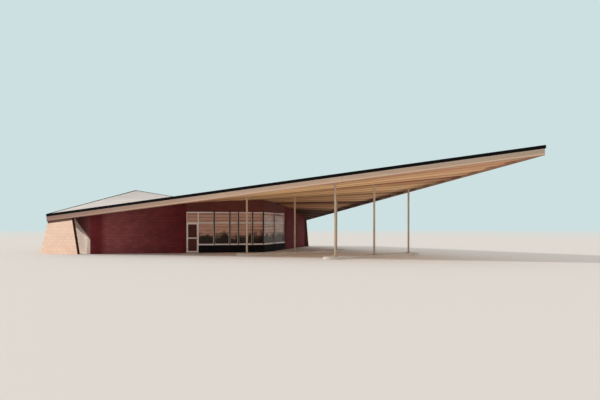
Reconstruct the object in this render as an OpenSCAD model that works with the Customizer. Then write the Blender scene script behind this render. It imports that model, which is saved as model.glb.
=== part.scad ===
// Filling station with one swept roof, in millimetres.
// +Z is up, the raised tip of the roof points to -Y, and the ground is z = 0.
// The origin lies on the centre line, below the line through the two low roof corners.
// The roof is a ruled saddle: four straight edges carry straight lines that twist from
// the near edge of the tip to the rear peak, so every rib under it is a straight bar.

/* [Roof outline] */
// Distance from the low corners forward to the raised tip
tip_reach = 30400; // [24000:100:32000]
// Distance from the low corners back to the rear peak
rear_reach = 9100; // [7500:100:12000]
// Half of the width across the two low corners
half_span = 12640; // [12000:20:14000]
// Height of the roof surface at the tip
tip_height = 6120; // [5200:20:7200]
// Height of the roof surface at the low corners
corner_height = 2780; // [2700:20:3200]
// Height of the roof surface at the rear peak
rear_height = 5300; // [4800:20:6000]

/* [Roof build-up] */
// Depth from the roof surface to the lowest line of the edge boards
roof_depth = 505; // [420:5:600]
// Depth of the dark cap strip round the roof edge
cap_depth = 150; // [100:5:200]
// How far the cap strip stands out from the edge boards
cap_proud = 25; // [10:5:50]
// How far the cap strip rises above the roof surface
cap_upstand = 30; // [10:5:60]
// Thickness of the edge boards
board_thick = 50; // [30:5:80]
// Thickness of the roof deck with its joists
deck_thick = 380; // [280:10:400]
// Height of the ribs of the ceiling sheet
rib_height = 50; // [30:5:80]
// How far the ribs stay above the lowest line of the edge boards
ceiling_lift = 50; // [20:5:60]
// Number of ribs across the ceiling sheet
rib_count = 20; // [12:1:28]

/* [Front walls] */
// Distance from the origin forward to the point where both front walls meet
nose_reach = 8900; // [7800:50:9600]
// Angle of each front wall back from the cross line
front_angle = 30; // [26:0.5:33]
// How far the side walls stand in from the low roof corners
side_inset = 1900; // [1700:20:2600]
// Length of each front window wall, measured from the nose
glass_run = 5760; // [5400:20:6200]
// Thickness of the block walls
wall_thick = 200; // [150:10:300]
// How far the rear walls stand in from the roof edge
rear_overhang = 600; // [400:20:1000]
// Thickness of the floor slab
floor_thick = 60; // [40:5:120]
// Height of the top of the window frames
frame_top = 2990; // [2800:10:3050]
// Height of the bar over the door
transom_height = 2160; // [2050:10:2250]
// Height of the window sills
sill_height = 588; // [450:4:700]

/* [Window frames] */
// Depth of the window frames, front to back
frame_deep = 100; // [70:5:140]
// Face width of the frame's rails and of the bars round the door
bar_width = 50; // [40:2:70]
// Face width of the uprights between the windows
upright_width = 100; // [60:5:140]
// Thickness of the glass
glass_thick = 8; // [6:1:12]
// Distance between the uprights of the two wide windows beside the door
pane_pitch = 1160; // [1000:10:1250]
// Distance between the uprights of the narrow window next to them
narrow_pitch = 640; // [540:10:760]
// Distance between the uprights of the window after the narrow one
middle_pitch = 1070; // [900:10:1200]
// How far the sill stands out from the frame
sill_proud = 30; // [10:5:60]

/* [Door] */
// Width of the door opening between its frame bars
door_gap = 790; // [700:10:900]
// Width of the stiles and rails of the door
stile = 70; // [50:5:100]
// Thickness of the door leaf
leaf_thick = 45; // [35:1:55]
// Clearance round the door leaf
door_play = 6; // [5:1:10]
// Height of the middle of the door's cross rail
rail_height = 1080; // [950:10:1200]
// Radius of the pull handle's bar
pull_r = 12; // [9:1:16]
// Length of the pull handle
pull_len = 320; // [200:10:450]
// Distance from the door to the middle of the pull handle's bar
pull_off = 55; // [40:1:80]
// Radius of the hinge barrels
hinge_r = 11; // [8:1:15]
// Length of each hinge barrel
hinge_len = 110; // [80:5:150]

/* [Posts] */
// Radius of the pipe posts
post_r = 64; // [50:2:90]
// Distance from the origin forward to the rear row of posts
rear_row = 12150; // [11500:50:13000]
// Distance from the origin forward to the front row of posts
front_row = 19300; // [18500:50:20000]
// Distance of the outer posts of the rear row from the centre line
rear_row_side = 4500; // [4000:50:5200]
// Distance of the outer posts of the front row from the centre line
front_row_side = 3750; // [3300:50:3900]
// Side of the square plates under and over the posts
plate_side = 260; // [220:10:360]
// Thickness of the plates under and over the posts
plate_thick = 20; // [12:1:30]
// Height of the kerbed islands
island_height = 150; // [100:5:200]
// Width of the kerbed islands
island_width = 1100; // [900:20:1300]
// How far an island runs on past its outer posts
island_past = 800; // [600:20:1200]

/* [End piers] */
// Thickness of the piers under the low corners
pier_thick = 250; // [200:10:300]
// Length of a pier along its foot
pier_foot = 3260; // [3000:20:3600]
// Length of a pier along its head
pier_head = 2130; // [2000:10:2400]
// Distance of the pier's foot past the low corner, along the roof edge
pier_past = 620; // [480:10:700]
// How far the pier's face stands in from the edge board's face
pier_setback = 60; // [20:5:120]
// Height of two courses of blocks, which step the rear edge
pier_step = 406; // [300:2:500]

/* [Hidden] */

// clearance between twisted faces that meet, and between straight faces that meet
seat = 6;
butt = 2;
// taller than any wall, used to cut walls to their plan
tall = tip_height + 1000;
// samples along a sloping wall head, and cells of the roof grid
head_steps = 10;
deck_cells = 24;
rib_cells = 12;

// Roof surface. Parameters s and t run from the tip to the left and right corners.
function mix(p, q, k) = p * (1 - k) + q * k;
function patch_z(s, t) =
  tip_height * (1 - s) * (1 - t) + corner_height * (s * (1 - t) + t * (1 - s)) + rear_height * s * t;
function slant(x) = abs(x) / half_span;
// the smaller parameter at a plan point, as the stable root of its quadratic
function small_t(x, y) =
  let (q = slant(x), k2 = tip_reach - rear_reach,
       k1 = -2 * tip_reach + k2 * q, k0 = tip_reach * (1 - q) + y)
  2 * k0 / (-k1 + sqrt(max(k1 * k1 - 4 * k2 * k0, 0)));
function roof_z(x, y) = let (t = small_t(x, y)) patch_z(t + slant(x), t);

// Plan corners [tip, left, rear, right] of the roof outline moved in by a distance
function outline(inset) =
  let (kf = 1 - inset * norm([1 / tip_reach, 1 / half_span]),
       kr = 1 - inset * norm([1 / rear_reach, 1 / half_span]),
       f = (kf - kr) / (1 / tip_reach + 1 / rear_reach),
       side = half_span * (kf - f / tip_reach))
  [[0, -tip_reach * kf], [-side, -f], [0, rear_reach * kr], [side, -f]];

// Points of a twisted sheet between four plan corners, at a depth below the roof surface
function lift(p, depth) = [p[0], p[1], roof_z(p[0], p[1]) - depth];
function sheet_point(c, s, t) =
  mix(mix(c[0], c[1], s), mix(c[3], c[2], s), t);

// A closed slab: rows of points along t, each row with the same number of points along s
module slab(top, bottom) {
  rows = len(top);
  cols = len(top[0]);
  n = rows * cols;
  flat_top = [for (r = top) for (p = r) p];
  flat_bottom = [for (r = bottom) for (p = r) p];
  upper = [for (i = [0:rows - 2]) for (j = [0:cols - 2])
    for (f = [[i * cols + j, i * cols + j + 1, (i + 1) * cols + j + 1],
              [i * cols + j, (i + 1) * cols + j + 1, (i + 1) * cols + j]]) f];
  lower = [for (f = upper) [f[2] + n, f[1] + n, f[0] + n]];
  rim = concat(
    [for (j = [0:cols - 1]) j],
    [for (i = [1:rows - 1]) i * cols + cols - 1],
    [for (j = [cols - 2:-1:0]) (rows - 1) * cols + j],
    [for (i = [rows - 2:-1:1]) i * cols]);
  edge = [for (k = [0:len(rim) - 1]) let (p = rim[k], q = rim[(k + 1) % len(rim)])
    for (f = [[p, p + n, q + n], [p, q + n, q]]) f];
  polyhedron(concat(flat_top, flat_bottom), concat(upper, lower, edge));
}

// Roof deck
module roof_deck() {
  c = outline(board_thick + butt);
  steps = [0:deck_cells];
  color("gainsboro") slab(
    [for (i = steps) [for (j = steps) lift(sheet_point(c, j / deck_cells, i / deck_cells), 0)]],
    [for (i = steps) [for (j = steps)
      lift(sheet_point(c, j / deck_cells, i / deck_cells), deck_thick)]]);
}

// depth of the ribs' lowest line below the roof surface
ceiling_depth = roof_depth - ceiling_lift;
// Ceiling sheet: straight tapered ribs that follow the rulings beside the left edge.
// Each rib has four lines, given as shares of the pitch with the depth at each line.
module ceiling_sheet() {
  c = outline(board_thick + butt);
  web = ceiling_depth - rib_height;
  rib = [[0.15, web], [0.25, ceiling_depth], [0.65, ceiling_depth], [0.75, web]];
  lines = concat([[0, web]],
    [for (k = [0:rib_count - 1]) for (r = rib) [(k + r[0]) / rib_count, r[1]]], [[1, web]]);
  steps = [0:rib_cells];
  color("peru") slab(
    [for (l = lines) [for (j = steps) lift(sheet_point(c, j / rib_cells, l[0]), deck_thick + seat)]],
    [for (l = lines) [for (j = steps) lift(sheet_point(c, j / rib_cells, l[0]), l[1])]]);
}

// Pieces on the right are mirror images of those on the left
module side(right) {
  if (right) mirror([1, 0, 0]) children();
  else children();
}

// A strip along one roof edge, from corner a to corner b of the outline, between two insets
// in plan and two depths below the straight edge
module edge_strip(a, b, outer, inner, above, below) {
  p = outline(0)[a];
  q = outline(0)[b];
  run = norm(q - p);
  rise = (roof_z(q[0], q[1]) - roof_z(p[0], p[1])) / run;
  zp = roof_z(p[0], p[1]);
  past = 1000;
  lean = atan2(q[1] - p[1], q[0] - p[0]);
  intersection() {
    linear_extrude(tall)
      polygon([outline(outer)[a], outline(outer)[b], outline(inner)[b], outline(inner)[a]]);
    translate([p[0], p[1], 0]) rotate([90, 0, lean]) linear_extrude(past, center = true)
      polygon([[-past, zp - past * rise - above], [run + past, zp + (run + past) * rise - above],
               [run + past, zp + (run + past) * rise - below], [-past, zp - past * rise - below]]);
  }
}
module edge_board_front(right) {
  color("rosybrown") side(right) edge_strip(0, 1, 0, board_thick, cap_depth, roof_depth);
}
module edge_board_rear(right) {
  color("rosybrown") side(right) edge_strip(1, 2, 0, board_thick, cap_depth, roof_depth);
}
module edge_cap_front(right) {
  color("black") side(right) edge_strip(0, 1, -cap_proud, board_thick, -cap_upstand, cap_depth);
}
module edge_cap_rear(right) {
  color("black") side(right) edge_strip(1, 2, -cap_proud, board_thick, -cap_upstand, cap_depth);
}

// Lowest point of the ceiling over a set of plan points
function ceiling_over(points) = min([for (p = points) roof_z(p[0], p[1])]) - ceiling_depth - seat;

// A wall over a plan outline, along the line from p to q, whose head follows the ceiling.
// The wall lies on the left of that line, seen from p.
module roofed_wall(plan, p, q, thick, foot) {
  run = norm(q - p);
  along = (q - p) / run;
  inward = [-along[1], along[0]] * thick;
  past = thick;
  heads = [for (i = [0:head_steps]) let (x = -past + (run + 2 * past) * i / head_steps)
    [x, ceiling_over([p + along * x, p + along * x + inward])]];
  intersection() {
    linear_extrude(tall) polygon(plan);
    translate([p[0], p[1], 0]) rotate([90, 0, atan2(along[1], along[0])])
      linear_extrude(4 * thick, center = true)
        polygon(concat([[-past, foot]], heads, [[run + past, foot]]));
  }
}

// Plan of the walls on the left: [rear peak, rear corner, front corner, nose] of the outline
// moved in by a distance
side_reach = half_span - side_inset;
nose = [0, -nose_reach];
front_dir = [-cos(front_angle), sin(front_angle)];
front_in = [sin(front_angle), cos(front_angle)];
rear_angle = atan2(rear_reach, half_span);
function plan(inset) =
  let (x = side_reach - inset,
       front_y = -nose_reach + inset / cos(front_angle),
       rear_y = outline(rear_overhang)[2][1] - inset / cos(rear_angle))
  [[0, rear_y], [-x, rear_y - x * tan(rear_angle)], [-x, front_y + x * tan(front_angle)], [0, front_y]];
outer = plan(0);
inner = plan(wall_thick);
// Points on the front line: along it from the nose, and in from the outer face
function front_point(along, depth) = nose + front_dir * along + front_in * depth;
glass_end = front_point(glass_run, 0);
glass_end_inner = front_point(glass_run, wall_thick);

module front_wall(right) {
  color([0.36, 0.17, 0.15]) side(right)
    roofed_wall([outer[2], glass_end, glass_end_inner, inner[2]], outer[2], glass_end, wall_thick, 0);
}
module side_wall(right) {
  color([0.9, 0.78, 0.68]) side(right)
    roofed_wall([outer[1], outer[2], inner[2], inner[1]], outer[1], outer[2], wall_thick, 0);
}
module rear_wall(right) {
  color([0.85, 0.7, 0.6]) side(right)
    roofed_wall([outer[0], outer[1], inner[1], inner[0]], outer[0], outer[1], wall_thick, 0);
}
module header(right) {
  color([0.25, 0.14, 0.12]) side(right)
    roofed_wall([glass_end, nose, inner[3], glass_end_inner], glass_end, nose, wall_thick, frame_top);
}

// Battered pier under the low corner, along the roof's front edge, stepped at its rear edge
module pier(right) {
  corner = outline(pier_setback)[1];
  tip = outline(pier_setback)[0];
  along = (tip - corner) / norm(tip - corner);
  inward = [-along[1], along[0]] * pier_thick;
  head = function (x) ceiling_over([corner + along * x, corner + along * x + inward]);
  // the steps end at the corner itself, below the edge boards
  steps = floor((head(0) + ceiling_depth - roof_depth) / pier_step);
  teeth = [for (i = [0:steps]) for (z = i < steps ? [i, i + 1] : [i])
    [-pier_past * (1 - i / steps), z * pier_step]];
  color([0.93, 0.78, 0.68]) side(right)
    translate([corner[0], corner[1], 0]) rotate([90, 0, atan2(along[1], along[0])])
      mirror([0, 0, 1]) linear_extrude(pier_thick)
        polygon(concat(teeth, [[0, head(0)], [pier_head, head(pier_head)],
                               [pier_foot - pier_past, 0]]));
}

// Floor inside the walls, with the threshold under the door as a tongue of it
module floor_slab() {
  edge = wall_thick + butt;
  room = plan(edge);
  to = glass_run - bar_width - butt;
  from = to - door_gap + 2 * butt;
  tongue = [for (p = [[to, edge], [to, 0], [from, 0], [from, edge]]) front_point(p[0], p[1])];
  color("lightgray") linear_extrude(floor_thick)
    polygon(concat([for (i = [0:2]) room[i]], tongue,
      [for (i = [3:-1:1]) [-room[i][0], room[i][1]]]));
}

// Drawing plane of the front windows: x runs outward from the nose, y is up, and the
// extrusion runs into the building from a set depth behind the wall's face
module front_panel(depth, thick) {
  intersection() {
    translate([0, -nose_reach, 0]) rotate([0, 0, 180 - front_angle])
      translate([0, -depth, 0]) rotate([90, 0, 0]) linear_extrude(thick) children();
    translate([-tip_reach, -tip_reach, -1]) cube([tip_reach, 2 * tip_reach, tall]);
  }
}
frame_depth = 50;
sill_thick = 30;
jamb = glass_run - 1.5 * bar_width - door_gap;
bulkhead_end = jamb - bar_width / 2;
// window uprights, from their middles, and the outer end of the panes on each side
narrow_from = jamb - 2 * pane_pitch - narrow_pitch;
uprights_left = [narrow_from - middle_pitch, narrow_from, jamb - 2 * pane_pitch, jamb - pane_pitch];
uprights_right = [glass_run / 2];
function panes_end(right) = right ? glass_run - bar_width : bulkhead_end;
// lower and upper edges of the panes
pane_rows = [[sill_height + bar_width, transom_height],
             [transom_height + bar_width, frame_top - bar_width]];
function panes(right) =
  let (uprights = right ? uprights_right : uprights_left, half = upright_width / 2,
       starts = concat([half], [for (u = uprights) u + half]),
       ends = concat([for (u = uprights) u - half], [panes_end(right)]))
  [for (i = [0:len(starts) - 1]) for (z = pane_rows) [starts[i], z[0], ends[i], z[1]]];
door_from = jamb + bar_width / 2;
door_to = glass_run - bar_width;
over_door = [door_from, transom_height + bar_width, door_to, frame_top - bar_width];
module pane(r) { translate([r[0], r[1]]) square([r[2] - r[0], r[3] - r[1]]); }

module window_frame(right) {
  end = right ? glass_run : bulkhead_end;
  color("white") side(right) front_panel(frame_depth, frame_deep) difference() {
    translate([0, sill_height]) square([end, frame_top - sill_height]);
    for (r = panes(right)) pane(r);
  }
}
module door_frame() {
  color("white") front_panel(frame_depth, frame_deep) difference() {
    translate([bulkhead_end, 0]) square([glass_run - bulkhead_end, frame_top]);
    pane(over_door);
    pane([door_from, -1, door_to, transom_height]);
  }
}
module window_glass(right) {
  all_panes = concat(panes(right), right ? [] : [over_door]);
  color([0.6, 0.7, 0.7, 0.4]) side(right)
    front_panel(frame_depth + (frame_deep - glass_thick) / 2, glass_thick)
      for (r = all_panes) pane(r);
}
module bulkhead(right) {
  end = right ? glass_run : bulkhead_end;
  color([0.1, 0.09, 0.09]) side(right) front_panel(0, wall_thick)
    square([end, sill_height - sill_thick]);
}
module window_sill(right) {
  end = right ? glass_run : bulkhead_end;
  color("white") side(right) front_panel(-sill_proud, wall_thick + sill_proud)
    translate([0, sill_height - sill_thick]) square([end, sill_thick]);
}

// Door leaf: stiles and rails round two panes, its outer face flush with the frame
leaf_from = door_from + door_play;
leaf_to = door_to - door_play;
leaf_foot = floor_thick + door_play;
leaf_head = transom_height - door_play;
module door_panes() {
  for (z = [[leaf_foot + stile, rail_height - stile / 2], [rail_height + stile / 2, leaf_head - stile]])
    pane([leaf_from + stile, z[0], leaf_to - stile, z[1]]);
}
module door_leaf() {
  color("white") front_panel(frame_depth, leaf_thick) difference() {
    pane([leaf_from, leaf_foot, leaf_to, leaf_head]);
    door_panes();
  }
}
module door_glass() {
  color([0.6, 0.7, 0.7, 0.4])
    front_panel(frame_depth + (leaf_thick - glass_thick) / 2, glass_thick) door_panes();
}
// Places children on the door's drawing plane, with z out of the building
module on_front(x, z, out) {
  translate([0, -nose_reach, 0]) rotate([0, 0, 180 - front_angle])
    translate([x, out - frame_depth, z]) children();
}
module door_pulls() {
  x = leaf_from + stile / 2;
  mount = (pull_len - 4 * pull_r) / 2;
  color("silver") for (out = [pull_off, -leaf_thick - pull_off]) {
    on_front(x, rail_height - pull_len / 2, out) cylinder(r = pull_r, h = pull_len, $fn = 32);
    for (z = [-mount, mount])
      on_front(x, rail_height + z, out > 0 ? out - pull_r / 2 : out + pull_r / 2)
        rotate([out > 0 ? 90 : -90, 0, 0])
          cylinder(r = pull_r * 0.7, h = pull_off - pull_r / 2, $fn = 24);
  }
}
// Hinge line: in the gap beside the leaf, clear of both faces
hinge_x = door_to - door_play / 2;
hinge_out = hinge_r + 2;
hinge_heights = [leaf_foot + 250, (leaf_foot + leaf_head) / 2, leaf_head - 250];
plate_deep = 3;
module door_hinges() {
  part = hinge_len / 3;
  color("silver") for (z = hinge_heights) {
    on_front(hinge_x, z - part / 2 + 1, hinge_out) cylinder(r = hinge_r, h = part - 2, $fn = 32);
    on_front(hinge_x - stile * 0.7, z - part / 2 + 1, 0)
      cube([stile * 0.7 - door_play, plate_deep, part - 2]);
    on_front(hinge_x - hinge_r, z - part / 2 + 1, 0)
      cube([hinge_r - door_play, hinge_out, part - 2]);
  }
}
module hinge_plates() {
  part = hinge_len / 3;
  color("silver") for (z = hinge_heights) for (up = [-1, 1])
    on_front(hinge_x, z + up * part - part / 2, 0) {
      translate([0, hinge_out, 0]) cylinder(r = hinge_r, h = part, $fn = 32);
      translate([door_play, 0, 0]) cube([bar_width * 0.7, plate_deep, part]);
      translate([door_play, 0, 0]) cube([hinge_r - door_play, hinge_out, part]);
    }
}

// Pipe post with a foot plate on its island and a head plate under the ceiling
module post(row, x) {
  corners = [for (i = [-1, 1]) for (j = [-1, 1]) [x + i * plate_side / 2, -row + j * plate_side / 2]];
  head = ceiling_over(corners);
  color("wheat") translate([x, -row, 0]) {
    translate([0, 0, island_height]) cylinder(r = post_r, h = head - island_height, $fn = 48);
    for (z = [island_height, head - plate_thick])
      translate([-plate_side / 2, -plate_side / 2, z]) cube([plate_side, plate_side, plate_thick]);
  }
}
// Kerbed island with round ends that carries one row of posts
module island(row, out) {
  run = out + island_past - island_width / 2;
  color("gainsboro") translate([0, -row, 0]) linear_extrude(island_height) {
    square([2 * run, island_width], center = true);
    for (x = [-run, run]) translate([x, 0]) circle(d = island_width, $fn = 64);
  }
}

floor_slab();
front_wall(false);  // front_wall_left
front_wall(true);  // front_wall_right
side_wall(false);  // side_wall_left
side_wall(true);  // side_wall_right
rear_wall(false);  // rear_wall_left
rear_wall(true);  // rear_wall_right
pier(false);  // pier_left
pier(true);  // pier_right
header(false);  // header_left
header(true);  // header_right
bulkhead(false);  // bulkhead_left
bulkhead(true);  // bulkhead_right
window_sill(false);  // window_sill_left
window_sill(true);  // window_sill_right
window_frame(false);  // window_frame_left
window_frame(true);  // window_frame_right
window_glass(false);  // window_glass_left
window_glass(true);  // window_glass_right
door_frame();
door_leaf();
door_glass();
door_pulls();
door_hinges();
hinge_plates();
roof_deck();
ceiling_sheet();
edge_board_front(false);  // edge_board_front_left
edge_board_front(true);  // edge_board_front_right
edge_board_rear(false);  // edge_board_rear_left
edge_board_rear(true);  // edge_board_rear_right
edge_cap_front(false);  // edge_cap_front_left
edge_cap_front(true);  // edge_cap_front_right
edge_cap_rear(false);  // edge_cap_rear_left
edge_cap_rear(true);  // edge_cap_rear_right
post(rear_row, -rear_row_side);  // post_rear_left
post(rear_row, 0);  // post_rear_centre
post(rear_row, rear_row_side);  // post_rear_right
post(front_row, -front_row_side);  // post_front_left
post(front_row, 0);  // post_front_centre
post(front_row, front_row_side);  // post_front_right
island(rear_row, rear_row_side);  // island_rear
island(front_row, front_row_side);  // island_front
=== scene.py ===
import math
import random

import bmesh
import bpy
from mathutils import Matrix, Vector


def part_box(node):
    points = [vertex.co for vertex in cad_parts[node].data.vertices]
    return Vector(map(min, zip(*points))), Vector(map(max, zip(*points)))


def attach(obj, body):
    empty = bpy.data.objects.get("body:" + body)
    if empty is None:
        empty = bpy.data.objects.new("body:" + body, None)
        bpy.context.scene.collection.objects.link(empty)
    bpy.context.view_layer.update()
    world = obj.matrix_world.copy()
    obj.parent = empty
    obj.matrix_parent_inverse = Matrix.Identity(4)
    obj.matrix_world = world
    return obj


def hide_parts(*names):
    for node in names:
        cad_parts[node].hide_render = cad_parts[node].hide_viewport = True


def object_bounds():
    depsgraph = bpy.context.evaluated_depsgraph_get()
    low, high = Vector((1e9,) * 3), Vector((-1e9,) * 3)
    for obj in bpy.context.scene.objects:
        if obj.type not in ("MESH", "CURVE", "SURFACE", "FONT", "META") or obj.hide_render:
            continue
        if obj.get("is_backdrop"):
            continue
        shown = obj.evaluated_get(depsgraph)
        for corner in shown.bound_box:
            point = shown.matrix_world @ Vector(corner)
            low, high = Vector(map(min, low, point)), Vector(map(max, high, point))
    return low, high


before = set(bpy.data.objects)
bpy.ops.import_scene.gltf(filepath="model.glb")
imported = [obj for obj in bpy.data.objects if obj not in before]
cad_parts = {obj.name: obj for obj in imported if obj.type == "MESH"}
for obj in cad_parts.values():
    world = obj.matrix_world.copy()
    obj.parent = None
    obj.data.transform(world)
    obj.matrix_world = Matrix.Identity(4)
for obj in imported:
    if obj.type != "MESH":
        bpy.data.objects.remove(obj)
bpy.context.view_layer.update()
print("frame loaded:", len(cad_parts), "nodes")


# Colours and node helpers

def rgb(red, green, blue):  # 0 to 255 as on a screen, to linear light
    def linear(value):
        part = value / 255
        return part / 12.92 if part <= 0.04045 else ((part + 0.055) / 1.055) ** 2.4
    return (linear(red), linear(green), linear(blue), 1.0)


class Wire:  # an output socket that can be used in sums
    def __init__(self, finish, socket):
        self.finish = finish
        self.socket = socket

    def maths(self, operation, *values):
        return self.finish.node("ShaderNodeMath", {"operation": operation}, dict(enumerate(values)))

    def __add__(self, other):
        return self.maths("ADD", self, other)

    def __radd__(self, other):
        return self.maths("ADD", other, self)

    def __sub__(self, other):
        return self.maths("SUBTRACT", self, other)

    def __rsub__(self, other):
        return self.maths("SUBTRACT", other, self)

    def __mul__(self, other):
        return self.maths("MULTIPLY", self, other)

    def __rmul__(self, other):
        return self.maths("MULTIPLY", other, self)

    def __truediv__(self, other):
        return self.maths("DIVIDE", self, other)

    def __mod__(self, other):
        return self.maths("MODULO", self, other)

    def __abs__(self):
        return self.maths("ABSOLUTE", self)

    def __gt__(self, other):
        return self.maths("GREATER_THAN", self, other)

    def __lt__(self, other):
        return self.maths("LESS_THAN", self, other)

    def floor(self):
        return self.maths("FLOOR", self)

    def larger(self, other):
        return self.maths("MAXIMUM", self, other)

    def smaller(self, other):
        return self.maths("MINIMUM", self, other)

    def limited(self, low, high):  # where self lies between low and high, as 0 to 1
        limits = {0: self, 1: low, 2: high, 3: 0.0, 4: 1.0}
        return self.finish.node("ShaderNodeMapRange", {"clamp": True}, limits)


class Finish:  # one material, or the sky
    def __init__(self, name, sky=None):
        self.material = sky or bpy.data.materials.new(name)
        self.material.use_nodes = True
        self.tree = self.material.node_tree
        self.tree.nodes.clear()

    def node(self, kind, settings=None, inputs=None, output=0):
        made = self.tree.nodes.new(kind)
        for key, value in (settings or {}).items():
            setattr(made, key, value)
        for key, value in (inputs or {}).items():
            if isinstance(value, Wire):
                self.tree.links.new(value.socket, made.inputs[key])
            else:
                made.inputs[key].default_value = value
        return Wire(self, made.outputs[output]) if made.outputs else None

    def place(self):
        return self.node("ShaderNodeTexCoord", output="Object")

    def axis(self, name, where=None):
        return self.node("ShaderNodeSeparateXYZ", None, {0: where or self.place()}, name)

    def stretched(self, where, scale):
        return self.node("ShaderNodeMapping", None, {"Vector": where, "Scale": scale})

    def noise(self, scale, detail=2.0, where=None):
        return self.node("ShaderNodeTexNoise", None,
                         {"Vector": where or self.place(), "Scale": scale, "Detail": detail})

    def draw(self, number):  # the same random value for the same whole number
        return self.node("ShaderNodeTexWhiteNoise", {"noise_dimensions": "1D"}, {"W": number})

    def attribute(self, name):
        return self.node("ShaderNodeAttribute", {"attribute_name": name}, output="Fac")

    def mix(self, factor, first, second):
        values = {0: factor, 6: first, 7: second}
        return self.node("ShaderNodeMix", {"data_type": "RGBA"}, values, 2)

    def straightRays(self):  # rays of the camera, of mirrors and through glass
        camera, mirror, through = [self.node("ShaderNodeLightPath", output=f"Is {kind} Ray")
                                   for kind in ("Camera", "Glossy", "Transmission")]
        return camera.larger(mirror).larger(through)

    def surface(self, inputs, relief=None, depth=0.0):
        if relief is not None:
            inputs["Normal"] = self.node("ShaderNodeBump", None,
                                         {"Strength": 1.0, "Distance": depth, "Height": relief})
        shader = self.node("ShaderNodeBsdfPrincipled", None, inputs)
        self.node("ShaderNodeOutputMaterial", None, {"Surface": shader})
        return self


# Mesh helpers

mergeWithin = 1e-5
flatWithin = math.radians(0.3)


def copyOf(node):
    mesh = bmesh.new()
    mesh.from_mesh(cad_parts[node].data)
    bmesh.ops.remove_doubles(mesh, verts=mesh.verts, dist=mergeWithin)
    bmesh.ops.dissolve_limit(mesh, angle_limit=flatWithin, verts=mesh.verts, edges=mesh.edges)
    return mesh


def everything(mesh):
    return mesh.verts[:] + mesh.edges[:] + mesh.faces[:]


def sharpEdges(mesh, angle=30.0):
    sharp = math.radians(angle)
    return [e for e in mesh.edges if len(e.link_faces) == 2 and e.calc_face_angle(0.0) > sharp]


def soften(mesh, width, segments=2, edges=None):
    bmesh.ops.bevel(mesh, geom=edges or sharpEdges(mesh), offset=width, segments=segments,
                    profile=0.5, affect="EDGES", material=-1, clamp_overlap=True)


def smoothRound(mesh, angle=30.0):
    for face in mesh.faces:
        face.smooth = True
    for edge in mesh.edges:
        edge.smooth = edge.calc_face_angle(0.0) < math.radians(angle)


def cutOff(mesh, geometry, point, outward):  # takes away what lies past a plane, and closes the cut
    cut = bmesh.ops.bisect_plane(mesh, geom=geometry, plane_co=point, plane_no=outward,
                                 clear_outer=True)
    border = [e for e in cut["geom_cut"] if isinstance(e, bmesh.types.BMEdge)]
    bmesh.ops.holes_fill(mesh, edges=border)


def addBox(mesh, low, high, place):
    size = [b - a for a, b in zip(low, high)]
    middle = [(a + b) / 2 for a, b in zip(low, high)]
    shape = place @ Matrix.Translation(middle) @ Matrix.Diagonal((*size, 1.0))
    return bmesh.ops.create_cube(mesh, size=1.0, matrix=shape)["verts"]


def addRound(mesh, radius, depth, middle, segments, topRadius=None):
    bmesh.ops.create_cone(mesh, cap_ends=True, segments=segments, radius1=radius,
                          radius2=radius if topRadius is None else topRadius, depth=depth,
                          matrix=Matrix.Translation(middle))


def meshData(name, mesh):
    data = bpy.data.meshes.new(name)
    mesh.to_mesh(data)
    mesh.free()
    return data


def addObject(name, data):
    made = bpy.data.objects.new(name, data)
    bpy.context.scene.collection.objects.link(made)
    return made


def makePiece(name, mesh, finish, slot, body="building", replaced=()):
    piece = addObject(name, meshData(name, mesh))
    piece.data.materials.append(finish.material)
    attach(piece, body)
    if replaced:
        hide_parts(*replaced)


# Stage, light and camera

studio = {
    "floorColour": rgb(228, 220, 211),
    "floorRough": 0.9,
    "floorGloss": 0.1,
    "floorHalf": 900.0,
    "floorDrop": 0.0005,
    "bounceColour": rgb(250, 245, 238),
    "backdropColour": rgb(205, 224, 225),
    "fadeFrom": 60.0,
    "fadeTo": 260.0,
    "skyLight": (0.97, 0.985, 1.0, 1.0),
    "skyStrength": 0.74,
    "keyStrength": 2.1,
    "keyFrom": Vector((-0.513, 0.780, 0.359)),
    "keySoftness": 1.5,
}

floorMesh = bmesh.new()
bmesh.ops.create_grid(floorMesh, x_segments=1, y_segments=1, size=studio["floorHalf"])
studioFloor = addObject("studio_floor", meshData("studio_floor", floorMesh))
studioFloor.location.z = -studio["floorDrop"]
floorFinish = Finish("floor_finish")
away = floorFinish.node("ShaderNodeVectorMath", {"operation": "LENGTH"}, {0: floorFinish.place()},
                        "Value")
seen = floorFinish.straightRays()
fade = away.limited(studio["fadeFrom"], studio["fadeTo"]) * seen
floorTone = floorFinish.mix(seen, studio["bounceColour"], studio["floorColour"])
floorShader = floorFinish.node("ShaderNodeBsdfPrincipled", None,
                               {"Base Color": floorTone, "Roughness": studio["floorRough"],
                                "Specular IOR Level": studio["floorGloss"]})
glow = floorFinish.node("ShaderNodeEmission", None,
                        {"Color": studio["backdropColour"], "Strength": 1.0})
floorMix = floorFinish.node("ShaderNodeMixShader", None, {0: fade, 1: floorShader, 2: glow})
floorFinish.node("ShaderNodeOutputMaterial", None, {"Surface": floorMix})
studioFloor.data.materials.append(floorFinish.material)
studioFloor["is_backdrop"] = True

world = bpy.data.worlds.new("studio_sky")
bpy.context.scene.world = world
sky = Finish("studio_sky", world)
skyLight = sky.node("ShaderNodeBackground", None,
                    {"Color": studio["skyLight"], "Strength": studio["skyStrength"]})
skySeen = sky.node("ShaderNodeBackground", None, {"Color": studio["backdropColour"]})
skyMix = sky.node("ShaderNodeMixShader", None, {0: sky.straightRays(), 1: skyLight, 2: skySeen})
sky.node("ShaderNodeOutputWorld", None, {"Surface": skyMix})

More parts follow.
